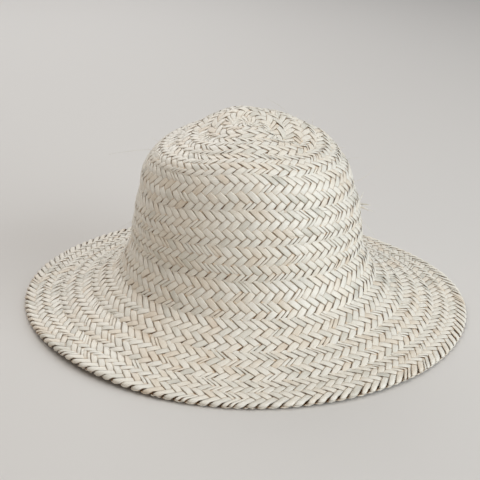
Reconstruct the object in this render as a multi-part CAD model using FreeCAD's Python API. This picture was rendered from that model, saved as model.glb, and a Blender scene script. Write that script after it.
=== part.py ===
"""Hand-plaited palm-leaf sun hat, in millimetres, +Z up.

The hat is one long flat plait, laid round and round in rings from the middle of the crown to the edge of the
brim. Each ring is laced to the next by a fibre cord that runs inside both edges. Here every ring of plait and
every ring of cord is a solid of its own, and neighbours meet face to face.
The origin is on the ground below the middle of the crown, and the brim rests on the plane z = 0.
"""

import FreeCAD
import Part

import math
import os

# Overall sizes
BRIM_RADIUS = 180.0
CROWN_HEIGHT = 148.0
HEAD_RADIUS = 91.0
PLAIT_THICKNESS = 2.4

# The outline of the plait's middle layer, from the top of the crown to the brim's edge.
# A corner is its radius from the axis, its height, and how far it is rounded.
HALF = PLAIT_THICKNESS / 2
WALL_RADIUS = HEAD_RADIUS + HALF
OUTLINE_CORNERS = [
    (0.0, CROWN_HEIGHT - HALF, 0.0),
    (14.0, CROWN_HEIGHT - HALF, 80.0),
    (75.5, 136.0, 22.0),
    (84.0, 110.0, 70.0),
    (WALL_RADIUS, 70.0, 20.0),
    (WALL_RADIUS, 54.0, 20.0),
    (104.5, 25.5, 32.0),
    (138.0, 10.5, 90.0),
    (BRIM_RADIUS, 0.0, 0.0),
]

# The rounds of the plait from the crown's middle outwards, and how wide each one lies.
# The button in the middle takes up the rest of the outline.
ROUND_WIDTHS = {
    "crown_top_round_1": 25.2,
    "crown_top_round_2": 25.2,
    "crown_shoulder_round": 23.0,
    "crown_wall_round_1": 26.9,
    "crown_wall_round_2": 26.9,
    "crown_wall_round_3": 26.9,
    "brim_root_round": 26.9,
    "brim_round_1": 26.9,
    "brim_round_2": 26.9,
    "brim_edge_round": 26.9,
}
BRIM_EDGE = "brim_edge_round"
CORD_RADIUS = 0.55
CORD_PLAY = 0.05

# The end of the plait, tucked under the brim at the back
TAIL_WIDTH = 14.0
TAIL_THICKNESS = 1.0
TAIL_ANGLE = 22.0
TAIL_INSET = 20.0
STITCH_COUNT = 4
STITCH_WIDTH = 1.0
STITCH_THICKNESS = 0.4

VERTICAL = FreeCAD.Vector(0, 0, 1)
CENTRE = FreeCAD.Vector(0, 0, 0)


def in_plane(radius, height):
    """A point of the section plane, y = 0."""
    return FreeCAD.Vector(radius, 0, height)


def rounded_outline(corners):
    """Edges along the corners, with a tangent arc at each rounded one."""
    edges = []
    start = in_plane(*corners[0][:2])
    for before, corner, after in zip(corners, corners[1:], corners[2:], strict=False):
        tip = in_plane(*corner[:2])
        back = (in_plane(*before[:2]) - tip).normalize()
        ahead = (in_plane(*after[:2]) - tip).normalize()
        half_angle = back.getAngle(ahead) / 2
        reach = corner[2] / math.tan(half_angle)
        to_centre = (back + ahead).normalize()
        middle = tip + to_centre * (corner[2] / math.sin(half_angle) - corner[2])
        arc_start = tip + back * reach
        arc_end = tip + ahead * reach
        edges.append(Part.LineSegment(start, arc_start).toShape())
        edges.append(Part.Arc(arc_start, middle, arc_end).toShape())
        start = arc_end
    edges.append(Part.LineSegment(start, in_plane(*corners[-1][:2])).toShape())
    return edges


class Outline:
    """The middle layer's line, measured by the distance along it from the crown's top."""

    def __init__(self, edges):
        self.edges = edges
        self.starts = [0.0]
        for edge in edges:
            self.starts.append(self.starts[-1] + edge.Length)
        self.length = self.starts[-1]

    def at(self, distance, offset):
        """The point this far along and this far out of the middle layer."""
        distance = min(max(distance, 0.0), self.length)
        last = len(self.edges) - 1
        index = last
        for number, begin in enumerate(self.starts[1:]):
            if distance < begin:
                index = min(number, last)
                break
        edge = self.edges[index]
        share = (distance - self.starts[index]) / edge.Length
        parameter = edge.FirstParameter + (edge.LastParameter - edge.FirstParameter) * min(share, 1.0)
        along = edge.tangentAt(parameter)
        outward = FreeCAD.Vector(-along.z, 0, along.x)
        return edge.valueAt(parameter) + outward * offset

    def edges_between(self, low, high, offset):
        """The outline's own lines and arcs between two distances, moved out by the offset."""
        stops = [low]
        stops += [s for s in self.starts if low + 1e-6 < s < high - 1e-6]
        stops.append(high)
        made = []
        for begin, end in zip(stops, stops[1:], strict=False):
            first = self.at(begin + 1e-9, offset)
            last = self.at(end - 1e-9, offset)
            middle = self.at((begin + end) / 2, offset)
            if middle.distanceToLine(first, last - first) < 1e-6:
                made.append(Part.LineSegment(first, last).toShape())
            else:
                made.append(Part.Arc(first, middle, last).toShape())
        return made


def end_with_groove(outline, distance, side):
    """The straight end of a ring's section, from its outer skin to its inner one, with the cord's groove.

    side is +1 where the ring lies beyond this distance along the outline, and -1 where it lies before it.
    """
    groove = CORD_RADIUS + CORD_PLAY
    top = outline.at(distance, HALF)
    bottom = outline.at(distance, -HALF)
    upper = outline.at(distance, groove)
    lower = outline.at(distance, -groove)
    across = (top - bottom).normalize()
    along = FreeCAD.Vector(across.z, 0, -across.x) * side
    deepest = outline.at(distance, 0) + along * groove
    return [
        Part.LineSegment(top, upper).toShape(),
        Part.Arc(upper, deepest, lower).toShape(),
        Part.LineSegment(lower, bottom).toShape(),
    ]


def plain_end(outline, distance):
    """The straight end of a section with no cord in it."""
    top = outline.at(distance, HALF)
    bottom = outline.at(distance, -HALF)
    return [Part.LineSegment(top, bottom).toShape()]


def revolve(edges, angle=360.0):
    """The solid that a closed section sweeps round the hat's axis."""
    wire = Part.Wire(Part.__sortEdges__(edges))
    return Part.Face(wire).revolve(CENTRE, VERTICAL, angle)


def ring(outline, low, high, first_end, last_end):
    """One round of the plait, as a shell of its own thickness."""
    edges = outline.edges_between(low, high, HALF)
    edges += outline.edges_between(low, high, -HALF)
    return revolve(edges + first_end + last_end)


def lacing_cord(outline, distance):
    """The fibre cord in the groove between two rounds."""
    place = outline.at(distance, 0)
    return Part.makeTorus(place.x, CORD_RADIUS, in_plane(0, place.z), VERTICAL)


def standing_on_ground(shape):
    """The shape with all that is below z = 0 taken off, which leaves a flat foot under the brim's edge."""
    reach = 3 * BRIM_RADIUS
    ground = Part.makeBox(2 * reach, 2 * reach, reach, FreeCAD.Vector(-reach, -reach, -reach))
    return shape.cut(ground)


def under_brim(outline, low, high, top, thickness, angle):
    """A flat strip against the brim's underside, centred on the hat's back."""
    edges = outline.edges_between(low, high, -top)
    edges += outline.edges_between(low, high, -top - thickness)
    for distance in (low, high):
        upper = outline.at(distance, -top)
        lower = outline.at(distance, -top - thickness)
        edges.append(Part.LineSegment(upper, lower).toShape())
    strip = revolve(edges, angle)
    strip.rotate(CENTRE, VERTICAL, 90.0 - angle / 2)
    return strip


def tail_stitches(outline, low, high):
    """Short bars of fibre across the tucked end, one solid each."""
    bars = []
    reach = math.degrees(STITCH_WIDTH / outline.at(low, 0).x)
    for number in range(STITCH_COUNT):
        bar = under_brim(outline, low, high, HALF + TAIL_THICKNESS, STITCH_THICKNESS, reach)
        turn = TAIL_ANGLE * ((number + 0.5) / STITCH_COUNT - 0.5)
        bar.rotate(CENTRE, VERTICAL, turn)
        bars.append(bar)
    return Part.Compound(bars)


def build():
    """Every sub-part by name."""
    outline = Outline(rounded_outline(OUTLINE_CORNERS))
    low = outline.length - sum(ROUND_WIDTHS.values())
    print(f"outline {outline.length:.1f} mm long, button {low:.2f} mm from the middle to its edge")

    parts = {}
    axis = Part.LineSegment(outline.at(0, HALF), outline.at(0, -HALF)).toShape()
    parts["crown_button"] = ring(outline, 0, low, [axis], end_with_groove(outline, low, -1))
    for number, (name, width) in enumerate(ROUND_WIDTHS.items(), 1):
        high = low + width
        last_end = plain_end(outline, high) if name == BRIM_EDGE else end_with_groove(outline, high, -1)
        parts[name] = ring(outline, low, high, end_with_groove(outline, low, 1), last_end)
        parts[f"lacing_cord_{number:02d}"] = lacing_cord(outline, low)
        low = high
    parts[BRIM_EDGE] = standing_on_ground(parts[BRIM_EDGE])

    tail_high = outline.length - TAIL_INSET
    tail_low = tail_high - TAIL_WIDTH
    parts["plait_tail"] = under_brim(outline, tail_low, tail_high, HALF, TAIL_THICKNESS, TAIL_ANGLE)
    parts["tail_stitches"] = tail_stitches(outline, tail_low, tail_high)
    return parts


os.makedirs("parts", exist_ok=True)
for part_name, solid in build().items():
    solid.exportStep(f"parts/{part_name}.step")
    box = solid.BoundBox
    print(
        f"{part_name}: volume {solid.Volume:.0f}, valid {solid.isValid()}, solids {len(solid.Solids)}, "
        f"x {box.XMin:.1f} to {box.XMax:.1f}, z {box.ZMin:.1f} to {box.ZMax:.1f}"
    )
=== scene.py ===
"""The looks of a hand-plaited palm-leaf sun hat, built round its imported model. Metres, +Z up.

Every round of the plait is woven here, strand by strand. A place on the hat is an angle about its
axis, a turn, which counts rounds outwards from the crown's middle, and a height above the middle
layer of the plait. Across a round, the crossings of its strands lie in level rows. Seen from
outside, "falling" strands run down to the right and "rising" strands run up to the right. Each
passes over two others and then under two.
"""

import math
from typing import NamedTuple

import bpy
import numpy as np
from mathutils import Matrix, Vector


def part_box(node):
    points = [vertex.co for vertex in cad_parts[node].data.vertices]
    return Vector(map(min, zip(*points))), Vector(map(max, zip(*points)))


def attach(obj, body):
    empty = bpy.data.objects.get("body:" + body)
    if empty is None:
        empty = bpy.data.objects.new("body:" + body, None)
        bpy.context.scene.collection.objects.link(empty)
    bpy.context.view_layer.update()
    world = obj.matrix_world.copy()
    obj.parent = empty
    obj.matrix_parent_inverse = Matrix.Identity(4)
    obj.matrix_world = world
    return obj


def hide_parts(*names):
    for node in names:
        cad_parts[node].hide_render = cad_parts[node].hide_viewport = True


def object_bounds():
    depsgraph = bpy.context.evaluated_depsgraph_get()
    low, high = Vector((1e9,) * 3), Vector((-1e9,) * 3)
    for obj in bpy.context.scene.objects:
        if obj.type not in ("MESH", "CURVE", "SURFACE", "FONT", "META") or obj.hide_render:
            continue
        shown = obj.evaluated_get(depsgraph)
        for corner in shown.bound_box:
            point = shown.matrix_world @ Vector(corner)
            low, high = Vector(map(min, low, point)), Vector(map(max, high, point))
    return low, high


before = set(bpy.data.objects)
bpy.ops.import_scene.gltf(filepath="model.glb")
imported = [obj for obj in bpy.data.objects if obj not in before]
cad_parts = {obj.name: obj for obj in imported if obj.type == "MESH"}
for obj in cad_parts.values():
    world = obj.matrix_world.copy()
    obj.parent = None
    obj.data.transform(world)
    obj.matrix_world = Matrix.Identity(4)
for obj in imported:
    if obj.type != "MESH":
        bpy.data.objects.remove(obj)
cad_low, cad_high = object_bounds()

MM = 0.001
TAU = 2 * math.pi
SEED = 41

# Rounds from the crown's middle outwards: the node, and the distance between two strands
ROUNDS = [
    ("crown_top_round_1", 7.4 * MM),
    ("crown_top_round_2", 7.4 * MM),
    ("crown_shoulder_round", 7.3 * MM),
    ("crown_wall_round_1", 7.4 * MM),
    ("crown_wall_round_2", 7.4 * MM),
    ("crown_wall_round_3", 7.4 * MM),
    ("brim_root_round", 7.6 * MM),
    ("brim_round_1", 7.9 * MM),
    ("brim_round_2", 7.9 * MM),
    ("brim_edge_round", 7.6 * MM),
]
BUTTON_STRANDS = 7
BUTTON_ROWS = 2
BUTTON_MIDDLE = 0.22  # share of the button's radius inside its first row

# The plait
ROWS = 8
STEPS_PER_ROW = 3
LEAF_THICKNESS = 0.24 * MM
LEAF_DOME = 0.31 * MM
LEAF_STEP = 4.9 * MM  # along a strand, from one row to the next
WEAVE_HEIGHT = 0.42 * MM  # of a strand over another, and its depth under one
WEAVE_FLATNESS = 0.06
ROUND_BULGE = 1.25 * MM
CROSSING_PINCH = 0.105  # share of its width that a strand loses where it dips

# How strands differ by chance. Shares are of the distance between two strands
HALF_WIDTHS = (0.496, 0.545)
SPLIT_SHARE = 0.10  # of the strands
SPLIT_OFF_MIDDLE = 0.15
SLIT_WIDTHS = (0.008, 0.03)
DRIFT = 0.032
SWAY = 0.024
SWAY_PER_ROW = 1.1
RAISED = 0.04 * MM
TILT = 0.05 * MM
PINCH_SPREAD = 0.35

# Over how many rows a strand changes as it nears a fold
END_ROWS = 1.2
INNER_SINK_ROWS = 1.3
OUTER_NARROWING_ROWS = 1.9
OUTER_DOMING_ROWS = 2.2

# Painted shade: how dark a strand's skin is painted where it lies deep in the plait, in the gaps
# between strands. It is fully dark only near the seam at the outer edge of its round
BURIED_GAIN = 1.15
BURIED_START = 0.42
BURIED_OFF_SEAM = 0.50
SEAM_ROWS = 2.0
SEAM_FADE_ROWS = 0.7

# The tucked end under the brim
TAIL_ROWS = 4
TAIL_SAMPLES = 2000  # of the outline, to find the turns that the tail's edges lie at
TAIL_PITCH = 5.2 * MM
TAIL_DROP = -1.95 * MM

# The lacing cords, each of two plies
CORD_STEP = 0.9 * MM
CORD_TWIST = 3.2 * MM
CORD_WEAVE = 0.22 * MM
CORD_HEIGHT = -0.15 * MM
PLY_OFFSET = 0.2 * MM
PLY_RADIUS = 0.22 * MM
CORD_SIDES = 6

# The stitches through the tucked end, each a twisted pair of fibres
STITCHES = 4
STITCH_POINTS = 15
STITCH_PAST_TAIL = 0.03  # in turns, at both ends
STITCH_HEIGHT = -0.9 * MM
STITCH_SAG = 2.05 * MM
STITCH_SQUARENESS = 0.35
STITCH_TWIST = 0.22 * MM
STITCH_HALF_TWISTS = 9
STITCH_SPREAD = 0.0012  # half the angle between its fibres
STITCH_FROM_AXIS = 0.153  # the hat's axis, to turn a length into an angle
STITCH_RADIUS = 0.27 * MM
STITCH_LENGTH = 14  # mm, for the fibre's pattern

# Fibres that stand out of the plait
FIBRE_POINTS = 9
FIBRE_SIDES = 4
FIBRE_ROOM = 10 * MM  # above the CAD model
FIBRE_ROOT = 0.5 * MM
FIBRE_FLOOR = 0.6 * MM
FIBRE_OUTWARDS = (0.35, 1.0)
FIBRE_LEAST_RISE = 0.25
FIBRE_CURL = 0.35
FIBRE_WEIGHT = np.array([0.0, 0.0, -0.12])  # how far their curl sags
FIBRE_TAPER, FIBRE_TAPER_POWER = 0.75, 1.5
FIBRE_PATTERN = 8  # mm, however long the fibre is

# Short ones all over, most of them near a seam. Lengths and radii are in mm
SHORT_FIBRES = 190
SHORT_AT_SEAM = 0.7  # share of them
SHORT_OFF_SEAM = 0.03  # in turns
SHORT_TURNS = (0.4, len(ROUNDS) - 0.2)
SHORT_LAST_TURN = len(ROUNDS) - 0.06
SHORT_LENGTH_LOG = (1.45, 0.5)  # the length's logarithm: its mean and spread
SHORT_LENGTHS = (1.5, 13.0)
SHORT_RADII = (0.08, 0.14)
SHORT_LYING = 0.55

# Long ones on the crown
LONG_FIBRES = 16
LONG_LENGTHS = (14.0, 34.0)
LONG_ANGLES = (-2.9, 1.2)
LONG_TURNS = (0.6, 5.2)
LONG_RADII = (0.09, 0.15)
LONG_LYING = 0.4

# Frayed ends at one seam on the crown's right side: their angle and turn, each with its spread
FRAYED_ENDS = 10
FRAYED_LENGTHS = (6.0, 12.0)
FRAYED_ANGLE = (0.20, 0.03)
FRAYED_TURN = (5.0, 0.06)
FRAYED_RADII = (0.3, 0.6)
FRAYED_LYING = 0.3

# Parts of the hat, by height or by distance from the axis: where each begins, and over how far
CROWN_FROM = (0.015, 0.050)
CROWN_WITHIN, CROWN_FADE = 0.125, 0.020
WALL_FROM = (0.045, 0.050)
SHOULDER_FROM = (0.080, 0.060)
TOP_FROM = (0.122, 0.020)
BRIM_FROM = (0.110, 0.070)

# How handling has shaped the hat: the crown's top, by x and y as seen from above
PEAK, PEAK_AT, PEAK_SPREAD = 0.0078, (-0.011, 0.024), 0.020
RIDGE, RIDGE_LINE, RIDGE_SPREAD = 0.0062, ((0.030, 0.030), (0.050, 0.020)), 0.013
HOLLOW, HOLLOW_AT, HOLLOW_SPREAD = 0.0035, (-0.024, -0.004), 0.014
CREASE, CREASE_LINE, CREASE_SPREAD = 0.0042, ((-0.002, 0.009), (0.036, -0.012)), 0.0075

# The crown leans, sinks towards its two sides and more at its shoulders, and has a dent
CROWN_LEAN, SHOULDER_LEAN = -0.0022, -0.0030
CROWN_LIFT = 0.0015
CROWN_SIDE, PAST_SIDE = 0.085, 1.1
SIDE_DROP, SIDE_TILT = 0.0078, 0.0024
SHOULDER_DROP, SHOULDER_DROP_BY = 0.0040, 0.5
DENT = 0.035
DENT_ANGLE, DENT_WIDTH = -2.45, 0.30
DENT_HEIGHT, DENT_DEPTH = 0.124, 0.0075

# Out of round: how much, how many times round, and the angle that it starts from
OVAL = (0.005, 2, 0.4)
THREE_SIDED = (0.003, 3, 2.0)

# The brim waves once deeply and all round a little, and is narrower at its corners and right side
WAVE, WAVE_ANGLE, WAVE_WIDTH = 0.0020, 3.95, 0.42
RIPPLE, RIPPLE_TIMES, RIPPLE_START = 0.25, 5, 0.6
CORNERS, CORNERS_MORE_AT_BACK = 0.024, 0.018
RIGHT_SIDE, RIGHT_SIDE_POWER = 0.012, 4
BRIM_FORWARD = 0.0024

# The looks of the leaf: stops of a colour ramp, each a place from 0 to 1 and a colour, and the
# shares and scales of what picks the place
LEAF_COLOURS = [
    (0.14, (0.58, 0.57, 0.51)),
    (0.25, (0.74, 0.715, 0.63)),
    (0.40, (0.86, 0.835, 0.755)),
    (0.68, (0.87, 0.83, 0.735)),
    (0.86, (0.80, 0.72, 0.60)),
    (0.97, (0.66, 0.55, 0.43)),
]
VEIN_COLOURS = [(0.30, (0.82, 0.77, 0.70)), (0.58, (1.0, 1.0, 1.0))]
# Brown at a strand's edges: partly the leaf's real browned edges, partly painted shade in the
# lines between strands
EDGE_BROWN_AND_SHADE = (0.66, 0.44, 0.23)
EDGE_SHARE = [(0.82, (0.0, 0.0, 0.0)), (1.0, (0.75, 0.75, 0.75))]
# Painted shade where a strand's skin lies deep in the plait: its colours, and how strongly it
# covers the leaf, by depth
GAP_SHADE_COLOURS = [(0.50, (0.80, 0.55, 0.31)), (0.95, (0.38, 0.19, 0.065))]
GAP_SHADE_SHARE = [(0.05, (0.0, 0.0, 0.0)), (0.50, (0.65, 0.65, 0.65)), (0.90, (1.0, 1.0, 1.0))]
FIBRE_COLOURS = [(0.30, (0.30, 0.21, 0.12)), (0.62, (0.58, 0.47, 0.31))]
PATCH_SCALE, PATCH_SHARE = 48.0, 0.50
TONE_SHARE = 0.58
TONE_APART = 91.0  # keeps the veins of two strands from lining up
VEINS_ACROSS, VEINS_ALONG, VEINS_SCALE, VEINS_SHARE = 6.0, 0.16, 2.2, 0.75
SPECK_SCALE, SPECK_GAIN, SPECK_START = 420.0, 1.3, -0.05
LEAF_ROUGH_GAIN, LEAF_ROUGH_START = 0.28, 0.26
LEAF_BUMP = (0.35, 0.12 * MM)
HAIR_SCALE = 1400.0
FIBRE_ROUGH = 0.8
FIBRE_BUMP = (0.5, 0.1 * MM)

# The studio. Each light has a name, place, size, power and colour
FLOOR_REACH = 15.0
FLOOR_COLOUR = (0.68, 0.66, 0.63, 1.0)
FLOOR_ROUGH = 0.75
LIT_PLACE = (0, 0, 0.06)
LIGHTS = [
    ("key", (1.50, -0.80, 0.60), 1.5, 25.5, (0.90, 0.955, 1.0)),
    ("top", (-0.25, -0.10, 1.60), 1.6, 12.0, (1.0, 0.965, 0.92)),
    ("fill", (-1.2, -1.2, 0.3), 1.4, 2.3, (1.0, 0.60, 0.26)),
    ("back", (-0.5, 1.3, 1.0), 1.2, 8.0, (0.99, 0.99, 1.0)),
]
WORLD_COLOUR = (0.97, 0.97, 1.0, 1.0)
WORLD_STRENGTH = 0.23

# The camera: metres and degrees
LENS = 82.5  # mm
CAMERA_TARGET = (-0.0073, 0.0, 0.0491)
CAMERA_DISTANCE = 0.8948
CAMERA_ELEVATION = 22.6
CAMERA_ROLL = 2.04


class Fold(NamedTuple):
    """How a strand turns back at one edge of its round."""

    height: float = 0.0  # of the strand's middle line, as it reaches the fold
    middle: float = 0.0  # height of the fold's middle
    lobe: float = 0.0  # how far the fold's middle line stands out past its sides
    narrowing: float = 0.0  # share of its width that the strand loses
    doming: float = 0.0  # how much more domed it is, at the outer edge only
    slanting: float = 0.0  # how far on it slants there, in distances between two strands


# By whether the strand is a rising one
TUCKED_INNER = {
    False: Fold(height=0.20 * MM, narrowing=0.04),
    True: Fold(height=-0.20 * MM, narrowing=0.04),
}
TUCKED_OUTER = {
    False: Fold(height=-0.80 * MM, middle=-0.40 * MM, narrowing=0.20),
    True: Fold(height=-0.05 * MM, middle=-0.40 * MM, narrowing=0.36, doming=0.12 * MM),
}
RIM_HEIGHT = 1.25 * MM
RIM_LOBE = 0.55 * MM
RIM_DOME = 0.5 * MM
RIM_SLANTING = 0.25
RIM_OUTER = {
    False: Fold(-RIM_HEIGHT, 0.0, RIM_LOBE, 0.04, RIM_DOME, RIM_SLANTING),
    True: Fold(RIM_HEIGHT, 0.0, RIM_LOBE, 0.08, RIM_DOME, RIM_SLANTING),
}
TAIL_EDGE = Fold(narrowing=0.05)


def smooth(x):
    """0 below 0, 1 above 1, and an even S between."""
    x = np.clip(x, 0.0, 1.0)
    return x * x * (3 - 2 * x)


class Outline:
    """The plait's middle layer in section, through the seams that the lacing cords mark."""

    def __init__(self):
        button_low, button_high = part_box("crown_button")
        rim_low, rim_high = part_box("brim_edge_round")
        points = [(0.0, (button_low.z + button_high.z) / 2)]
        for number in range(len(ROUNDS)):
            low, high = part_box(f"lacing_cord_{number + 1:02d}")
            cord_radius = (high.z - low.z) / 2
            points.append(((high.x - low.x) / 2 - cord_radius, (high.z + low.z) / 2))
        rim_radius = rim_high.x - RIM_HEIGHT - RIM_LOBE
        rim_height = rim_low.z + RIM_HEIGHT + RIM_DOME + LEAF_DOME + 4 * LEAF_THICKNESS
        points.append((rim_radius, rim_height))
        self.points = np.array(points)
        button_turns = self.points[1, 0] / np.hypot(*(self.points[2] - self.points[1]))
        self.turns = np.array([-button_turns, *range(len(ROUNDS) + 1)], float)
        self.slopes = np.gradient(self.points, self.turns, axis=0)
        self.slopes[0] = (self.points[1, 0] / button_turns, 0)

    def at(self, turn):
        """The section's point, its direction outwards, and its direction off the hat's face."""
        turn = np.clip(turn, self.turns[0], self.turns[-1])
        piece = np.searchsorted(self.turns, turn, side="right") - 1
        piece = np.clip(piece, 0, len(self.turns) - 2)
        span = (self.turns[piece + 1] - self.turns[piece])[..., None]
        u = (turn - self.turns[piece])[..., None] / span
        start, end = self.points[piece], self.points[piece + 1]
        leave, arrive = self.slopes[piece] * span, self.slopes[piece + 1] * span
        point = (
            start * (2 * u**3 - 3 * u**2 + 1)
            + leave * (u**3 - 2 * u**2 + u)
            + end * (3 * u**2 - 2 * u**3)
            + arrive * (u**3 - u**2)
        )
        along = (
            (start - end) * (6 * u**2 - 6 * u)
            + leave * (3 * u**2 - 4 * u + 1)
            + arrive * (3 * u**2 - 2 * u)
        )
        along /= np.linalg.norm(along, axis=-1, keepdims=True)
        off = np.stack([-along[..., 1], along[..., 0]], axis=-1)
        return point, along, off


outline = Outline()


def mound(x, y, middle_x, middle_y, spread):
    """1 at a place seen from above, and falling off round it."""
    return np.exp(-((x - middle_x) ** 2 + (y - middle_y) ** 2) / (2 * spread**2))


def fold_line(x, y, start, end, spread):
    """1 along a line seen from above, and falling off to both sides of it."""
    run_x, run_y = end[0] - start[0], end[1] - start[1]
    share = ((x - start[0]) * run_x + (y - start[1]) * run_y) / (run_x**2 + run_y**2)
    share = np.clip(share, 0, 1)
    return mound(x - share * run_x, y - share * run_y, start[0], start[1], spread)


def come_in(value, begins, over):
    """0 up to where a part of the hat begins, and 1 from this far past it."""
    return smooth((value - begins) / over)


def wavy(angle, amount, times, start):
    """A wave round the hat."""
    return amount * np.sin(times * angle + start)


def lived_in(x, y, z):
    """Moves points as handling has: the crown leans, its top is a soft peak, the brim waves."""
    angle = np.arctan2(y, x)
    radius = np.hypot(x, y)
    on_crown = come_in(z, *CROWN_FROM) * smooth((CROWN_WITHIN - radius) / CROWN_FADE)
    on_wall = come_in(z, *WALL_FROM)
    on_shoulder = come_in(z, *SHOULDER_FROM)
    on_top = come_in(z, *TOP_FROM)
    on_brim = come_in(radius, *BRIM_FROM)
    lean = CROWN_LEAN * on_crown + SHOULDER_LEAN * on_shoulder

    peak = PEAK * mound(x, y, *PEAK_AT, PEAK_SPREAD)
    ridge = RIDGE * fold_line(x, y, *RIDGE_LINE, RIDGE_SPREAD)
    hollow = HOLLOW * mound(x, y, *HOLLOW_AT, HOLLOW_SPREAD)
    crease = CREASE * fold_line(x, y, *CREASE_LINE, CREASE_SPREAD)
    sideways = np.clip(x / CROWN_SIDE, -PAST_SIDE, PAST_SIDE)
    drop = SIDE_DROP * sideways**2 - SIDE_TILT * sideways
    drop = drop + SHOULDER_DROP * on_shoulder * smooth(np.abs(sideways) / SHOULDER_DROP_BY)
    wave = np.exp(-(((np.mod(angle, TAU) - WAVE_ANGLE) / WAVE_WIDTH) ** 2))
    wave = wave + RIPPLE * (1 + np.sin(RIPPLE_TIMES * angle + RIPPLE_START))
    lift = CROWN_LIFT * on_crown + on_top * (peak + ridge - hollow - crease)
    lift = lift - on_wall * drop + WAVE * on_brim * wave

    off_dent = ((angle - DENT_ANGLE) / DENT_WIDTH) ** 2 + ((z - DENT_HEIGHT) / DENT_DEPTH) ** 2
    squeeze = 1 + wavy(angle, *OVAL) + wavy(angle, *THREE_SIDED) - DENT * np.exp(-off_dent)
    corners = (CORNERS + CORNERS_MORE_AT_BACK * np.sin(angle)) * np.sin(2 * angle) ** 2
    right_side = RIGHT_SIDE * np.maximum(np.cos(angle), 0) ** RIGHT_SIDE_POWER
    squeeze -= on_brim * (corners + right_side)
    forward = BRIM_FORWARD * on_brim
    return np.stack([x * squeeze + lean, y * squeeze - forward, z + lift], axis=-1)


def surface(angle, turn, height, past=0.0):
    """Points this far off the middle layer, and this far past their turn, straight on."""
    point, along, off = outline.at(turn)
    bulge = ROUND_BULGE * (np.sin(math.pi * (turn % 1.0)) - 0.5)
    place = point + off * (height + bulge)[..., None] + along * np.asarray(past)[..., None]
    return lived_in(place[..., 0] * np.cos(angle), place[..., 0] * np.sin(angle), place[..., 1])


def mesh_piece(name, points, faces, labels):
    """A smooth mesh object with one number per point under each label."""
    mesh = bpy.data.meshes.new(name)
    mesh.from_pydata(points.reshape(-1, 3).tolist(), [], faces)
    for label, values in labels.items():
        layer = mesh.attributes.new(label, "FLOAT", "POINT")
        layer.data.foreach_set("value", np.ascontiguousarray(values, np.float32).ravel())
    mesh.shade_smooth()
    piece = bpy.data.objects.new(name, mesh)
    bpy.context.scene.collection.objects.link(piece)
    return piece


# A strand's section: how far across from its middle line, and how deep under its upper skin
ACROSS = np.array([-1.0, -0.62, 0.0, 0.62, 1.0, 0.66, 0.0, -0.66])
DEPTH = np.array([0.30, 0.0, 0.0, 0.0, 0.30, 1.0, 1.0, 1.0])
CAP = [[0, 1, 7], [1, 2, 6, 7], [2, 3, 5, 6], [3, 4, 5]]


def tube_faces(tubes, sections, ring, cap=None, closed=False):
    """Faces of several tubes, whose points come tube by tube, section by section."""
    index = np.arange(tubes * sections * ring).reshape(tubes, sections, ring)
    following = np.roll(index, -1, axis=1) if closed else index[:, 1:]
    here = index if closed else index[:, :-1]
    quads = [here, following, np.roll(following, -1, axis=2), np.roll(here, -1, axis=2)]
    faces = np.stack(quads, axis=-1).reshape(-1, 4).tolist()
    for tube in [] if closed else range(tubes):
        for polygon in cap or [list(range(ring))]:
            faces.append(index[tube, 0, polygon].tolist())
            faces.append(index[tube, -1, polygon[::-1]].tolist())
    return faces


def leaf_layout(count, rng):
    """For each leaf of one slant: its strand, its middle beside the strand's, its half width.

    Widths are shares of the distance between strands. A split strand is two narrow leaves.
    """
    leaves = []
    for number in range(count):
        half = rng.uniform(*HALF_WIDTHS)
        if rng.random() < SPLIT_SHARE:
            cut = rng.uniform(-SPLIT_OFF_MIDDLE, SPLIT_OFF_MIDDLE)
            slit = rng.uniform(*SLIT_WIDTHS)
            leaves.append((number, (cut - half) / 2, (half + cut - slit) / 2))
            leaves.append((number, (cut + half) / 2, (half - cut - slit) / 2))
        else:
            leaves.append((number, 0.0, half))
    number, beside, half = np.array(leaves).T
    return number.astype(int), beside, half


def woven_height(row):
    """Height of a falling strand's middle line, over rows 0 to 2 and under rows 2 to 4."""
    swing = (1 + WEAVE_FLATNESS) * np.sin(math.pi * row / 2)
    return WEAVE_HEIGHT * (swing + WEAVE_FLATNESS * np.sin(3 * math.pi * row / 2))


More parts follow.
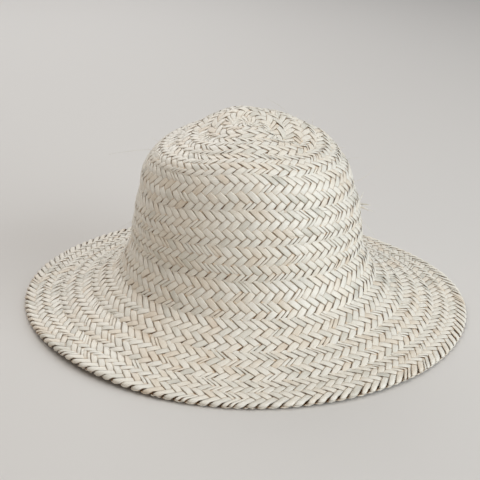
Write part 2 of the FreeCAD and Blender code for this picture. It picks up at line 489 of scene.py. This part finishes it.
def slanted_strands(rising, count, rows, turns, inner, outer, rng):
    """All strands of one slant in a round, each from its inner Fold to its outer Fold.

    turns holds the turn of row 0 and the turns from one row to the next.
    """
    slant = -1 if rising else 1
    first, last = -0.5, rows + 0.5 - 2 * outer.slanting
    path = np.linspace(first, last, round((last - first) * STEPS_PER_ROW) + 1)
    bend = np.array([-90.0, -45.0, *([0.0] * len(path)), 45.0, 90.0])[None, :, None]
    row = np.array([first, first, *path, last, last])[None, :, None]

    number, beside, half = leaf_layout(count, rng)
    leaves = len(number)
    drift = rng.normal(0, DRIFT, count)[number] + beside
    sway = rng.uniform(0, TAU, count)[number]
    raised = rng.normal(0, RAISED, leaves)[:, None, None]
    tilt = rng.normal(-TILT, TILT, leaves)[:, None, None]
    tone = rng.random(count)[number]
    pinch = rng.normal(1.0, PINCH_SPREAD, leaves)[:, None, None]

    outer_narrowing = pinch * outer.narrowing * smooth(1 - (last - row) / OUTER_NARROWING_ROWS)
    width = 1 - outer_narrowing - inner.narrowing * smooth(1 - (row - first) / END_ROWS)
    dip = (1 - np.abs(np.sin(math.pi * row / 2))) ** 2
    width = width - pinch * CROSSING_PINCH * dip
    across = half[:, None, None] * ACROSS * width
    straight_ends = smooth((row - first) / END_ROWS) * smooth((last - row) / END_ROWS)
    real_row = row - slant * across * straight_ends
    shift = drift[:, None, None] + SWAY * np.sin(SWAY_PER_ROW * row + sway[:, None, None])
    folding_on = slant * outer.slanting * np.maximum(bend, 0.0) / 90
    strand = number[:, None, None] + (0.5 if rising else 0.0)
    position = strand + slant * real_row / 2 + across + shift + folding_on

    level = slant * woven_height(row)
    level = inner.height + (level - inner.height) * smooth((row - first) / INNER_SINK_ROWS)
    level = outer.height + (level - outer.height) * smooth((last - row) / END_ROWS)
    near_edge = smooth(1 - (last - row) / OUTER_DOMING_ROWS)
    dome = (LEAF_DOME + outer.doming * near_edge) * (1 - ACROSS**2)
    dome = dome * np.clip(level / WEAVE_HEIGHT, -1, 1)
    # Painted shade: the skin is darker where the strand lies under others, darkest near the seam
    buried = smooth((2 * DEPTH - 1) * level / WEAVE_HEIGHT * BURIED_GAIN + BURIED_START)
    at_seam = smooth((row - rows + SEAM_ROWS) / SEAM_FADE_ROWS)
    buried = buried * (BURIED_OFF_SEAM + (1 - BURIED_OFF_SEAM) * at_seam)
    tilted = tilt * ACROSS * straight_ends
    skin = level + dome + raised + tilted + LEAF_THICKNESS * (0.5 - DEPTH)

    fold_middle = np.where(bend < 0, inner.middle, outer.middle)
    lobe = np.where(bend < 0, inner.lobe, outer.lobe) * (1 - ACROSS**2)
    angle = np.radians(np.abs(bend))
    from_middle = skin - fold_middle
    skin = fold_middle + from_middle * np.cos(angle)
    past = np.sign(bend) * (np.abs(from_middle) + lobe) * np.sin(angle)

    points = surface(TAU * position / count, turns[0] + real_row * turns[1], skin, past)
    shape = points.shape[:3]
    return points, {
        "across": np.broadcast_to(ACROSS, shape),
        "buried": np.broadcast_to(buried, shape),
        "along": np.broadcast_to(row * LEAF_STEP / MM, shape),
        "tone": np.broadcast_to(tone[:, None, None], shape),
    }


def joined(parts):
    """Several groups of strands, each with its points and labels, as one."""
    points = np.concatenate([part[0] for part in parts])
    labels = {label: np.concatenate([part[1][label] for part in parts]) for label in parts[0][1]}
    return points, labels


def plait_round(name, count, rows, turns, outer, rng):
    """One round of the plait, both slants of its strands, in place of its CAD node."""
    points, labels = joined(
        [
            slanted_strands(rising, count, rows, turns, TUCKED_INNER[rising], outer[rising], rng)
            for rising in (False, True)
        ]
    )
    piece = mesh_piece(name + "_plait", points, tube_faces(*points.shape[:3], CAP), labels)
    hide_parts(name)
    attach(piece, "root")
    return piece


def tubes_along(paths, radius, ring, closed=False):
    """Points round each of several lines of as many points. radius may differ along them."""
    ahead = np.roll(paths, -1, axis=1) - np.roll(paths, 1, axis=1)
    if not closed:
        ahead[:, 0] = paths[:, 1] - paths[:, 0]
        ahead[:, -1] = paths[:, -1] - paths[:, -2]
    ahead /= np.linalg.norm(ahead, axis=-1, keepdims=True)
    side = np.cross(ahead, [0.0, 0.0, 1.0])
    side /= np.maximum(np.linalg.norm(side, axis=-1, keepdims=True), 1e-9)
    up = np.cross(side, ahead)
    spin = TAU * np.arange(ring) / ring
    circle = side[:, :, None] * np.cos(spin)[:, None] + up[:, :, None] * np.sin(spin)[:, None]
    return paths[:, :, None] + circle * np.asarray(radius)[..., None, None]


def lacing(number, count, rng):
    """The twisted two-ply fibre cord that joins a round to the one inside it."""
    turn = number - 1.0
    radius = outline.at(np.array(turn))[0][0]
    steps = int(TAU * radius / CORD_STEP)
    angle = np.linspace(0, TAU, steps, endpoint=False)
    twists = round(TAU * radius / CORD_TWIST)
    weave = CORD_WEAVE * np.sin(angle * count)
    plies = []
    for ply in (0.0, math.pi):
        spin = twists * angle + ply
        height = CORD_HEIGHT + weave + PLY_OFFSET * np.cos(spin)
        plies.append(surface(angle, np.full(steps, turn), height, PLY_OFFSET * np.sin(spin)))
    points = tubes_along(np.stack(plies), PLY_RADIUS, CORD_SIDES, closed=True)
    labels = {
        "tone": np.broadcast_to(rng.random(2)[:, None, None], points.shape[:3]),
        "along": np.broadcast_to((angle * radius / MM)[None, :, None], points.shape[:3]),
    }
    node = f"lacing_cord_{number:02d}"
    faces = tube_faces(*points.shape[:3], closed=True)
    piece = mesh_piece(node + "_twist", points, faces, labels)
    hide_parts(node)
    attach(piece, "root")
    return piece


def tail_place():
    """The tucked end's half angle, and the turns of its two edges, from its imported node."""
    low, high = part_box("plait_tail")
    outer_radius = high.y
    half_angle = math.asin(high.x / outer_radius)
    inner_radius = low.y / math.cos(half_angle)
    turns = np.linspace(0, len(ROUNDS), TAIL_SAMPLES)
    radii = outline.at(turns)[0][:, 0]
    inner_turn, outer_turn = np.interp([inner_radius, outer_radius], radii, turns)
    return half_angle, inner_turn, outer_turn


def tail(rng):
    """The end of the plait, a few rows wide, flat under the brim at the back."""
    half_angle, inner_turn, outer_turn = tail_place()
    radius = outline.at(np.array((inner_turn + outer_turn) / 2))[0][0]
    count = round(TAU * radius / TAIL_PITCH)
    turns = (inner_turn, (outer_turn - inner_turn) / TAIL_ROWS)
    parts = []
    for rising in (False, True):
        points, labels = slanted_strands(
            rising, count, TAIL_ROWS, turns, TAIL_EDGE, TAIL_EDGE, rng
        )
        middle = points[:, points.shape[1] // 2, 2]
        angle = np.arctan2(middle[:, 1], middle[:, 0]) - math.pi / 2
        kept = np.abs(angle) < half_angle - TAIL_PITCH / radius
        parts.append((points[kept], {label: values[kept] for label, values in labels.items()}))
    points, labels = joined(parts)
    points[..., 2] += TAIL_DROP
    piece = mesh_piece("plait_tail_plait", points, tube_faces(*points.shape[:3], CAP), labels)
    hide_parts("plait_tail")
    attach(piece, "root")
    return piece


def stitches():
    """Fibre stitches that hold the tucked end, each across it and up into the plait."""
    low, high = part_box("tail_stitches")
    half_angle, inner_turn, outer_turn = tail_place()
    share = np.linspace(0, 1, STITCH_POINTS)
    width = outer_turn - inner_turn + 2 * STITCH_PAST_TAIL
    turn = inner_turn - STITCH_PAST_TAIL + width * share
    height = STITCH_HEIGHT - STITCH_SAG * np.sin(math.pi * share) ** STITCH_SQUARENESS
    paths = []
    for number in range(STITCHES):
        middle = math.pi / 2 + 2 * half_angle * ((number + 0.5) / STITCHES - 0.5)
        for side in (-1, 1):
            spin = STITCH_HALF_TWISTS * share * math.pi + (side > 0) * math.pi
            twist = STITCH_TWIST * np.sin(spin)
            angle = middle + side * STITCH_SPREAD + twist / STITCH_FROM_AXIS
            paths.append(surface(angle, turn, height))
    paths = np.stack(paths)
    points = tubes_along(paths, np.full(paths.shape[:2], STITCH_RADIUS), CORD_SIDES)
    along = np.linspace(0, STITCH_LENGTH, STITCH_POINTS)[None, :, None]
    labels = {
        "tone": np.full(points.shape[:3], 0.5),
        "along": np.broadcast_to(along, points.shape[:3]),
    }
    piece = mesh_piece("tail_stitches_thread", points, tube_faces(*points.shape[:3]), labels)
    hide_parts("tail_stitches")
    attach(piece, "root")
    return piece


def sprung_fibres(angle, turn, length, thickness, lying, rng):
    """Fibres that stand out of the plait and bend. lying is how far they lean over."""
    count = len(angle)
    start = surface(angle, turn, np.full(count, FIBRE_ROOT))
    off = surface(angle, turn, np.full(count, FIBRE_ROOT + MM)) - start
    off /= np.linalg.norm(off, axis=-1, keepdims=True)
    aim = off * rng.uniform(*FIBRE_OUTWARDS, (count, 1)) + lying * rng.normal(0, 1, (count, 3))
    aim /= np.linalg.norm(aim, axis=-1, keepdims=True)
    short_of = np.minimum(np.sum(aim * off, axis=-1, keepdims=True) - FIBRE_LEAST_RISE, 0)
    aim -= short_of * off
    curl = rng.normal(0, FIBRE_CURL, (count, 3)) + FIBRE_WEIGHT
    curl -= np.minimum(np.sum(curl * off, axis=-1, keepdims=True), 0) * off
    share = np.linspace(0, 1, FIBRE_POINTS)[None, :, None]
    run = aim[:, None] * share + curl[:, None] * share**2
    paths = start[:, None] + length[:, None, None] * run
    rise = np.max(paths[..., 2] - start[:, None, 2], axis=1)
    room = (cad_high.z + FIBRE_ROOM - start[:, 2]) / np.maximum(rise, MM)
    paths = start[:, None] + (paths - start[:, None]) * np.minimum(room, 1.0)[:, None, None]
    paths[..., 2] = np.maximum(paths[..., 2], FIBRE_FLOOR)
    radius = thickness[:, None] * (1 - FIBRE_TAPER * share[..., 0] ** FIBRE_TAPER_POWER)
    return tubes_along(paths, radius, FIBRE_SIDES)


def loose_fibres(rng):
    """Thin fibres all over, a few long ones on the crown, and frayed ends at one seam."""
    count = SHORT_FIBRES
    at_seam = rng.integers(1, len(ROUNDS) + 1, count) + rng.normal(0, SHORT_OFF_SEAM, count)
    turn = np.where(rng.random(count) < SHORT_AT_SEAM, at_seam, rng.uniform(*SHORT_TURNS, count))
    turn = np.minimum(turn, SHORT_LAST_TURN)
    length = MM * np.clip(rng.lognormal(*SHORT_LENGTH_LOG, count), *SHORT_LENGTHS)
    angle = rng.uniform(0, TAU, count)
    short = (angle, turn, length, rng.uniform(*SHORT_RADII, count) * MM, SHORT_LYING)

    count = LONG_FIBRES
    length = MM * rng.uniform(*LONG_LENGTHS, count)
    angle = rng.uniform(*LONG_ANGLES, count)
    turn = rng.uniform(*LONG_TURNS, count)
    long = (angle, turn, length, rng.uniform(*LONG_RADII, count) * MM, LONG_LYING)

    count = FRAYED_ENDS
    length = MM * rng.uniform(*FRAYED_LENGTHS, count)
    angle = rng.normal(*FRAYED_ANGLE, count)
    turn = rng.normal(*FRAYED_TURN, count)
    frayed = (angle, turn, length, rng.uniform(*FRAYED_RADII, count) * MM, FRAYED_LYING)

    points = np.concatenate([sprung_fibres(*group, rng) for group in (short, long, frayed)])
    share = np.linspace(0, 1, FIBRE_POINTS)[None, :, None]
    tone = rng.random(len(points))[:, None, None]
    labels = {
        "across": np.zeros(points.shape[:3]),
        "buried": np.zeros(points.shape[:3]),
        "along": np.broadcast_to(share * FIBRE_PATTERN, points.shape[:3]),
        "tone": np.broadcast_to(tone, points.shape[:3]),
    }
    piece = mesh_piece("loose_fibres", points, tube_faces(*points.shape[:3]), labels)
    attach(piece, "root")
    return piece


def new_material(name):
    """An empty node material with its Principled shader and output."""
    material = bpy.data.materials.new(name)
    material.use_nodes = True
    tree = material.node_tree
    tree.nodes.clear()
    shader = tree.nodes.new("ShaderNodeBsdfPrincipled")
    output = tree.nodes.new("ShaderNodeOutputMaterial")
    tree.links.new(shader.outputs["BSDF"], output.inputs["Surface"])
    return material, tree, shader


def feed(tree, sockets, values):
    """Gives each socket its value: a number, a colour, or another node's socket to join."""
    for socket, value in zip(sockets, values, strict=True):
        if isinstance(value, (int, float)):
            socket.default_value = value
        elif isinstance(value, tuple):
            socket.default_value = (*value, 1.0)
        else:
            tree.links.new(value, socket)


def attribute(tree, label):
    """The number that each point of the mesh holds under this label."""
    node = tree.nodes.new("ShaderNodeAttribute")
    node.attribute_name = label
    return node.outputs["Fac"]


def maths(tree, operation, *values):
    """One sum of numbers or sockets."""
    node = tree.nodes.new("ShaderNodeMath")
    node.operation = operation
    feed(tree, node.inputs[: len(values)], values)
    return node.outputs["Value"]


def ramp(tree, factor, stops):
    """Colours by place along 0 to 1."""
    node = tree.nodes.new("ShaderNodeValToRGB")
    elements = node.color_ramp.elements
    while len(elements) < len(stops):
        elements.new(0.5)
    for element, (place, colour) in zip(elements, stops, strict=True):
        element.position = place
        element.color = (*colour, 1.0)
    feed(tree, [node.inputs["Fac"]], [factor])
    return node.outputs["Color"]


def noise(tree, vector, scale, detail=3.0, roughness=0.55):
    """Noise from 0 to 1 at this scale."""
    node = tree.nodes.new("ShaderNodeTexNoise")
    sockets = [node.inputs[name] for name in ("Vector", "Scale", "Detail", "Roughness")]
    feed(tree, sockets, (vector, scale, detail, roughness))
    return node.outputs["Fac"]


def mixed(tree, blend, factor, first, second):
    """Two colours mixed."""
    node = tree.nodes.new("ShaderNodeMix")
    node.data_type = "RGBA"
    node.blend_type = blend
    feed(tree, [node.inputs[0], node.inputs[6], node.inputs[7]], (factor, first, second))
    return node.outputs[2]


def combined(tree, x, y, z):
    """A vector from three numbers or sockets."""
    node = tree.nodes.new("ShaderNodeCombineXYZ")
    feed(tree, node.inputs, (x, y, z))
    return node.outputs["Vector"]


def bumped(tree, height, strength, distance):
    """The surface's direction, made uneven by this height."""
    node = tree.nodes.new("ShaderNodeBump")
    sockets = [node.inputs[name] for name in ("Strength", "Distance", "Height")]
    feed(tree, sockets, (strength, distance, height))
    return node.outputs["Normal"]


def palm_leaf_material():
    """Dry palm leaf: ivory to straw from strand to strand, veined, and browner at its edges. The
    edge brown is partly the leaf's real browning and partly painted shade in the lines between
    strands. There is also painted shade in the gaps deep in the plait.
    """
    material, tree, shader = new_material("palm_leaf")
    labels = ("across", "along", "tone", "buried")
    across, along, tone, buried = (attribute(tree, label) for label in labels)
    place = tree.nodes.new("ShaderNodeTexCoord").outputs["Object"]

    patch = noise(tree, place, PATCH_SCALE, detail=2.0)
    by_strand = maths(tree, "MULTIPLY", tone, TONE_SHARE)
    shade = maths(tree, "ADD", by_strand, maths(tree, "MULTIPLY", patch, PATCH_SHARE))
    base = ramp(tree, shade, LEAF_COLOURS)

    across_veins = maths(tree, "MULTIPLY", across, VEINS_ACROSS)
    along_veins = maths(tree, "MULTIPLY", along, VEINS_ALONG)
    each_strand = maths(tree, "MULTIPLY", tone, TONE_APART)
    veins_at = combined(tree, across_veins, along_veins, each_strand)
    veins = noise(tree, veins_at, VEINS_SCALE, detail=4.0, roughness=0.6)
    coloured = mixed(tree, "MULTIPLY", VEINS_SHARE, base, ramp(tree, veins, VEIN_COLOURS))

    # The edges are browned, partly as real browning and partly as painted shade in the lines
    # between strands
    edge = ramp(tree, maths(tree, "ABSOLUTE", across), EDGE_SHARE)
    speck = noise(tree, place, SPECK_SCALE, detail=2.0)
    speck = maths(tree, "MULTIPLY_ADD", speck, SPECK_GAIN, SPECK_START)
    browned_and_shaded = maths(tree, "MULTIPLY", edge, speck)
    coloured = mixed(tree, "MIX", browned_and_shaded, coloured, EDGE_BROWN_AND_SHADE)
    # Painted shade in the gaps, where the skin lies deep in the plait
    gap_shade_share = ramp(tree, buried, GAP_SHADE_SHARE)
    coloured = mixed(tree, "MIX", gap_shade_share, coloured, ramp(tree, buried, GAP_SHADE_COLOURS))

    rough = maths(tree, "MULTIPLY_ADD", veins, LEAF_ROUGH_GAIN, LEAF_ROUGH_START)
    sockets = [shader.inputs[name] for name in ("Base Color", "Roughness", "Normal")]
    feed(tree, sockets, (coloured, rough, bumped(tree, veins, *LEAF_BUMP)))
    return material


def fibre_material():
    """Twisted palm fibre: matt tan with darker hairs."""
    material, tree, shader = new_material("palm_fibre")
    place = tree.nodes.new("ShaderNodeTexCoord").outputs["Object"]
    hairs = noise(tree, place, HAIR_SCALE)
    colour = ramp(tree, hairs, FIBRE_COLOURS)
    sockets = [shader.inputs[name] for name in ("Base Color", "Roughness", "Normal")]
    feed(tree, sockets, (colour, FIBRE_ROUGH, bumped(tree, hairs, *FIBRE_BUMP)))
    return material


def floor_and_light():
    """A plain pale floor and soft studio light."""
    mesh = bpy.data.meshes.new("floor")
    reach = FLOOR_REACH
    corners = [(-reach, -reach, 0), (reach, -reach, 0), (reach, reach, 0), (-reach, reach, 0)]
    mesh.from_pydata(corners, [], [[0, 1, 2, 3]])
    floor = bpy.data.objects.new("floor", mesh)
    bpy.context.scene.collection.objects.link(floor)
    material, _, shader = new_material("pale_floor")
    shader.inputs["Base Color"].default_value = FLOOR_COLOUR
    shader.inputs["Roughness"].default_value = FLOOR_ROUGH
    mesh.materials.append(material)

    for name, place, size, power, colour in LIGHTS:
        data = bpy.data.lights.new(name, "AREA")
        data.size = size
        data.energy = power
        data.color = colour
        lamp = bpy.data.objects.new(name, data)
        lamp.location = place
        towards = Vector(LIT_PLACE) - Vector(place)
        lamp.rotation_euler = towards.to_track_quat("-Z", "Y").to_euler()
        bpy.context.scene.collection.objects.link(lamp)
    world = bpy.data.worlds.new("studio")
    world.use_nodes = True
    background = world.node_tree.nodes["Background"]
    background.inputs["Color"].default_value = WORLD_COLOUR
    background.inputs["Strength"].default_value = WORLD_STRENGTH
    bpy.context.scene.world = world
    bpy.context.scene.view_settings.view_transform = "Standard"


def aim_camera():
    """The view from in front and above, with the camera's slight roll."""
    elevation, roll = math.radians(CAMERA_ELEVATION), math.radians(CAMERA_ROLL)
    back = Vector((0, -math.cos(elevation), math.sin(elevation)))
    level_right = Vector((1, 0, 0))
    level_up = back.cross(level_right)
    right = level_right * math.cos(roll) + level_up * math.sin(roll)
    up = level_up * math.cos(roll) - level_right * math.sin(roll)
    data = bpy.data.cameras.new("camera")
    data.lens = LENS
    camera = bpy.data.objects.new("camera", data)
    turn = Matrix((right, up, back)).transposed().to_4x4()
    place = Vector(CAMERA_TARGET) + back * CAMERA_DISTANCE
    camera.matrix_world = Matrix.Translation(place) @ turn
    bpy.context.scene.collection.objects.link(camera)
    bpy.context.scene.camera = camera


def build_hat():
    """Every piece of the hat."""
    leaf, fibre = palm_leaf_material(), fibre_material()
    rng = np.random.default_rng(SEED)
    start = outline.turns[0] * (1 - BUTTON_MIDDLE)
    turns = (start, -start / BUTTON_ROWS)
    woven = [plait_round("crown_button", BUTTON_STRANDS, BUTTON_ROWS, turns, TUCKED_OUTER, rng)]
    corded = []
    for number, (name, pitch) in enumerate(ROUNDS):
        middle = outline.at(np.array(number + 0.5))[0][0]
        count = round(TAU * middle / pitch)
        is_rim = number == len(ROUNDS) - 1
        outer = RIM_OUTER if is_rim else TUCKED_OUTER
        woven.append(plait_round(name, count, ROWS, (number, 1 / ROWS), outer, rng))
        corded.append(lacing(number + 1, count, rng))
    woven += [tail(rng), loose_fibres(rng)]
    corded.append(stitches())
    for pieces, material in ((woven, leaf), (corded, fibre)):
        for piece in pieces:
            piece.data.materials.append(material)


build_hat()
floor_and_light()
aim_camera()
